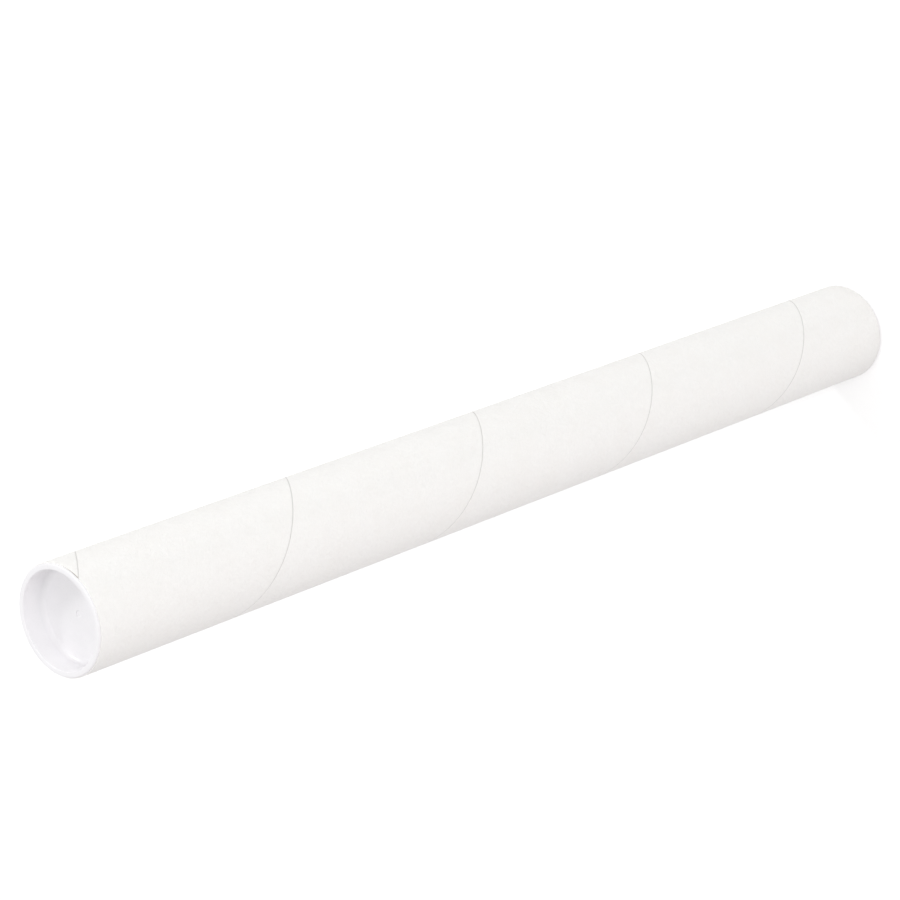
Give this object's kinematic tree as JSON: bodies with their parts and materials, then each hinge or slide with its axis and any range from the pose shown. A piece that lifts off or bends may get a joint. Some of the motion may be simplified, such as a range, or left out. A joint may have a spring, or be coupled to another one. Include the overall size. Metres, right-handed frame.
{
  "type": "cardboard mailing tube",
  "caption": "Straight round mailing tube of spirally wound white paperboard with a helical seam, closed at each end by a recessed plastic push-in cap.",
  "frame": {"origin": "centre of the base, in the plane of the bottom cap's outer face", "axes": "+Z along the tube's axis from the bottom cap to the top cap; the outer seam reaches the top end 29.2 degrees clockwise from +X, seen from above"},
  "size_m": [0.055, 0.055, 0.612],
  "materials": {
    "white_paperboard": "matte",
    "white_plastic": "satin"
  },
  "bodies": {
    "tube": {"tube": "white_paperboard"},
    "top_cap": {"top_cap": "white_plastic"},
    "bottom_cap": {"bottom_cap": "white_plastic"}
  },
  "joints": [
    {"name": "top_cap_pull", "type": "slide", "parent": "tube", "child": "top_cap", "axis": [0, 0, 1], "range_m": [0, 0.07]},
    {"name": "bottom_cap_pull", "type": "slide", "parent": "tube", "child": "bottom_cap", "axis": [0, 0, -1], "range_m": [0, 0.07]}
  ]
}
